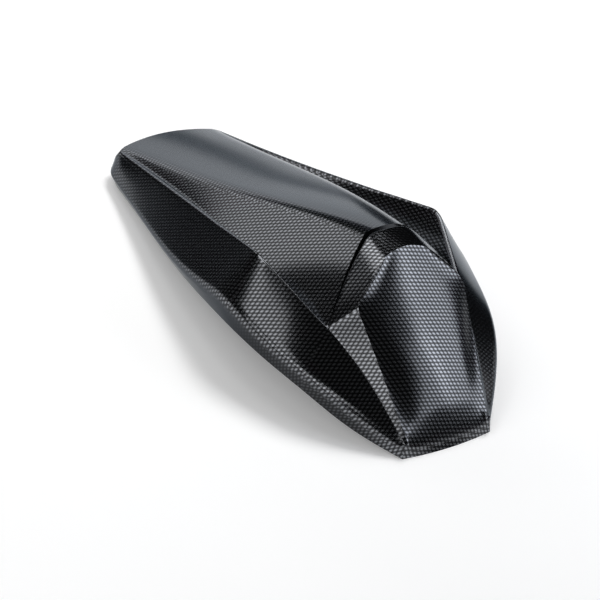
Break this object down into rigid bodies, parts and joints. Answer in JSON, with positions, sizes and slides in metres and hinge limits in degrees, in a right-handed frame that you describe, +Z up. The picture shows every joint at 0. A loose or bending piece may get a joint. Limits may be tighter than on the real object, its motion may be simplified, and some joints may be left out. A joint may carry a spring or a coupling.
{
  "type": "seat cowl",
  "caption": "Faceted hollow seat cowl with flared side wings, a long tapering hump and a framed, crowned front panel, in a carbon-look finish.",
  "frame": {"origin": "on the ground below the middle of the cowl's length and width", "axes": "+Z up, +Y from the front panel back to the tail, +X across the width"},
  "size_m": [0.2394, 0.44, 0.128],
  "materials": {
    "carbon_look": "dark woven carbon-look print under a semi-gloss clear coat"
  },
  "bodies": {
    "root": {"cowl_shell": "carbon_look"}
  },
  "joints": []
}
